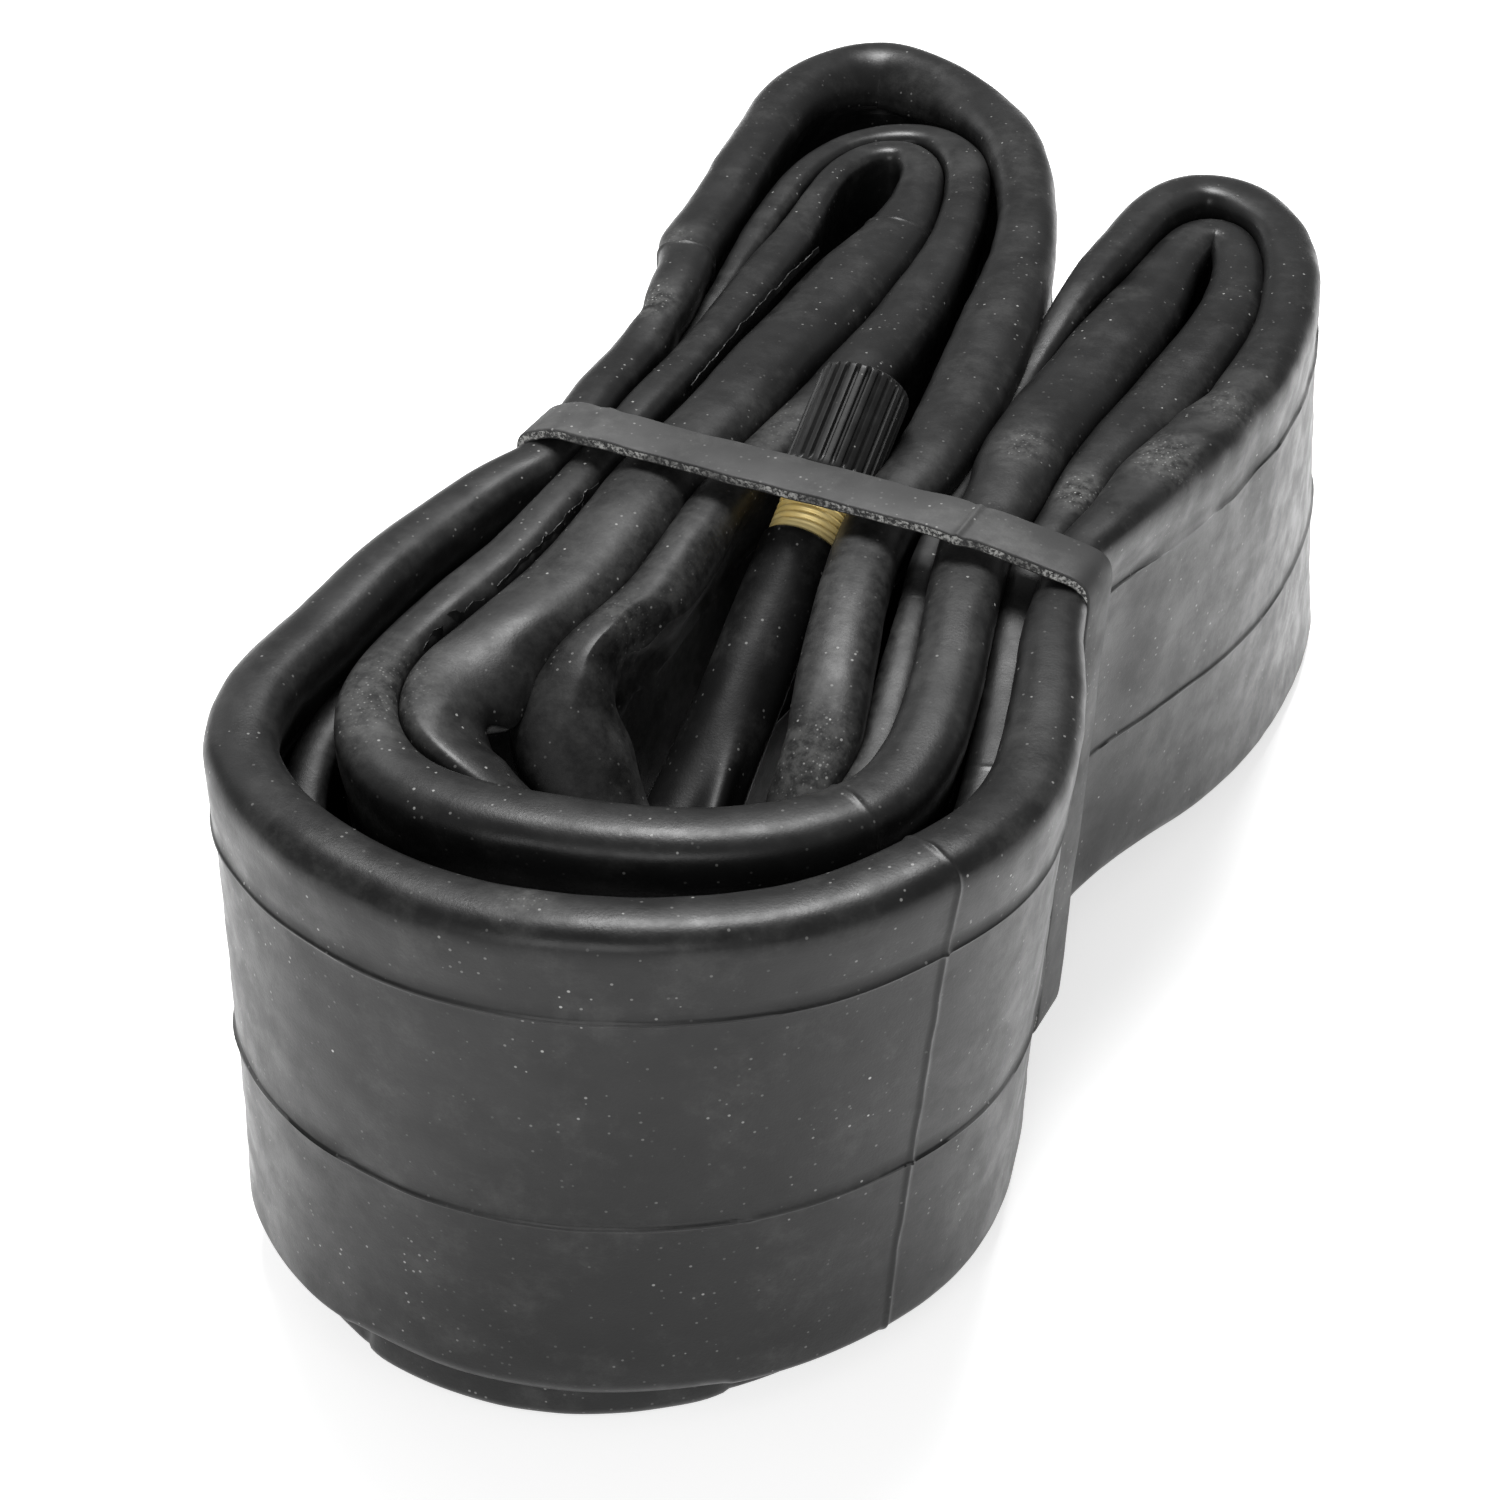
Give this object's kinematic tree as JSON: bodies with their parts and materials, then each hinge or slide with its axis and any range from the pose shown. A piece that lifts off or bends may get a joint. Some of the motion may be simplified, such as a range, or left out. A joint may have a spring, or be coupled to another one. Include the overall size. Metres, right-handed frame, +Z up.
{
  "type": "bicycle inner tube",
  "caption": "Bicycle inner tube pressed flat, folded into a bundle and held by a rubber band, with a capped car-type valve.",
  "frame": {"origin": "middle of the bundle's box, on the surface it stands on", "axes": "+Y along the bundle from its front folds to its back folds, +Z up across the tube's flat width, +X to the side of the shorter back loop"},
  "size_m": [0.082, 0.1841, 0.0707],
  "materials": {
    "tube_rubber": "matte black butyl rubber with a dusting of talc",
    "band_rubber": "matte dark grey rubber with pale cut edges",
    "brass": "bright machined brass",
    "cap_plastic": "satin black plastic",
    "spring_steel": "drawn wire",
    "seal_rubber": "soft seal rubber"
  },
  "bodies": {
    "tube": {"inner_tube": "tube_rubber", "valve_base_patch": "tube_rubber", "valve_stem_rubber": "tube_rubber", "valve_stem_brass": "brass", "core_plug": "brass", "core_barrel": "brass", "core_gasket": "seal_rubber", "core_spring": "spring_steel", "rubber_band": "band_rubber"},
    "valve_pin": {"core_pin": "brass", "core_cup": "brass", "core_seat_washer": "seal_rubber"},
    "cap_travel": {"cap_washer": "seal_rubber"},
    "cap": {"dust_cap": "cap_plastic"}
  },
  "joints": [
    {"name": "pin_press", "type": "slide", "parent": "tube", "child": "valve_pin", "axis": [-0.0462, -0.8817, -0.4695], "range_m": [0, 0.0015], "stiffness_N_per_m": 600, "springref_m": -0.0015, "deforming": ["core_spring"]},
    {"name": "cap_lift", "type": "slide", "parent": "tube", "child": "cap_travel", "axis": [0.0462, 0.8817, 0.4695], "range_m": [0, 0.006]},
    {"name": "cap_turn", "type": "hinge", "parent": "cap_travel", "child": "cap", "pos_m": [-0.00025, -0.01975, 0.0575], "axis": [0.0462, 0.8817, 0.4695], "range_deg": [0, 2721]}
  ],
  "couplings": [
    {"joint": "cap_turn", "follows": "cap_lift", "rad_per_m": 7913.3}
  ]
}
